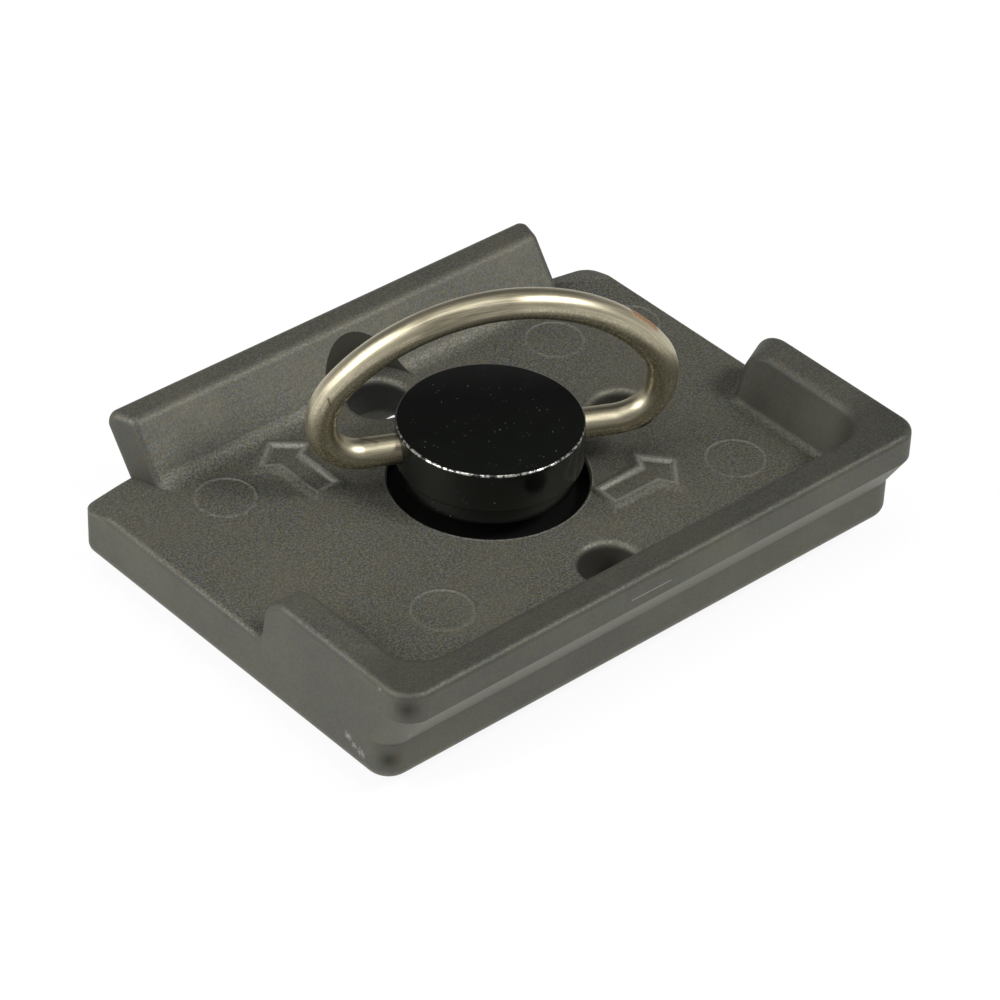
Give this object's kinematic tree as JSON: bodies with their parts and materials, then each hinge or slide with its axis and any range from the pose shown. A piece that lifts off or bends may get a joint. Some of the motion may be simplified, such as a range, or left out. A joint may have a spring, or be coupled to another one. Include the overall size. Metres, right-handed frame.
{
  "type": "tripod quick release plate",
  "caption": "Die-cast camera plate with dovetail rails, a grip pad and a captive camera screw turned by a folding wire ring.",
  "frame": {"origin": "on the camera screw's axis, in the plane of the camera face (the pad's outer face)", "axes": "+X along the plate, +Y from the long front rail to the short back rail, +Z from the camera face to the rails"},
  "size_m": [0.0532, 0.0421, 0.0259],
  "materials": {
    "cast_metal": "dark grit-blasted die casting, matte",
    "pad_rubber": "matte, ribbed",
    "black_steel": "glossy black oxide",
    "spring_steel": "phosphated spring steel",
    "ring_wire": "drawn nickel-plated wire, tarnished"
  },
  "bodies": {
    "plate": {"plate_body": "cast_metal", "rubber_pad": "pad_rubber"},
    "clip": {"retaining_clip": "spring_steel"},
    "screw": {"camera_screw": "black_steel"},
    "ring": {"ring": "ring_wire"}
  },
  "joints": [
    {"name": "screw_slide", "type": "slide", "parent": "plate", "child": "clip", "axis": [0, 0, 1], "range_m": [-0.002, 0]},
    {"name": "screw_spin", "type": "hinge", "parent": "clip", "child": "screw", "pos_m": [0, 0, 0], "axis": [0, 0, 1], "continuous": true},
    {"name": "ring_fold", "type": "hinge", "parent": "screw", "child": "ring", "pos_m": [0, 0, 0.0092], "axis": [0.8988, -0.4384, 0], "range_deg": [-86, 70]}
  ]
}
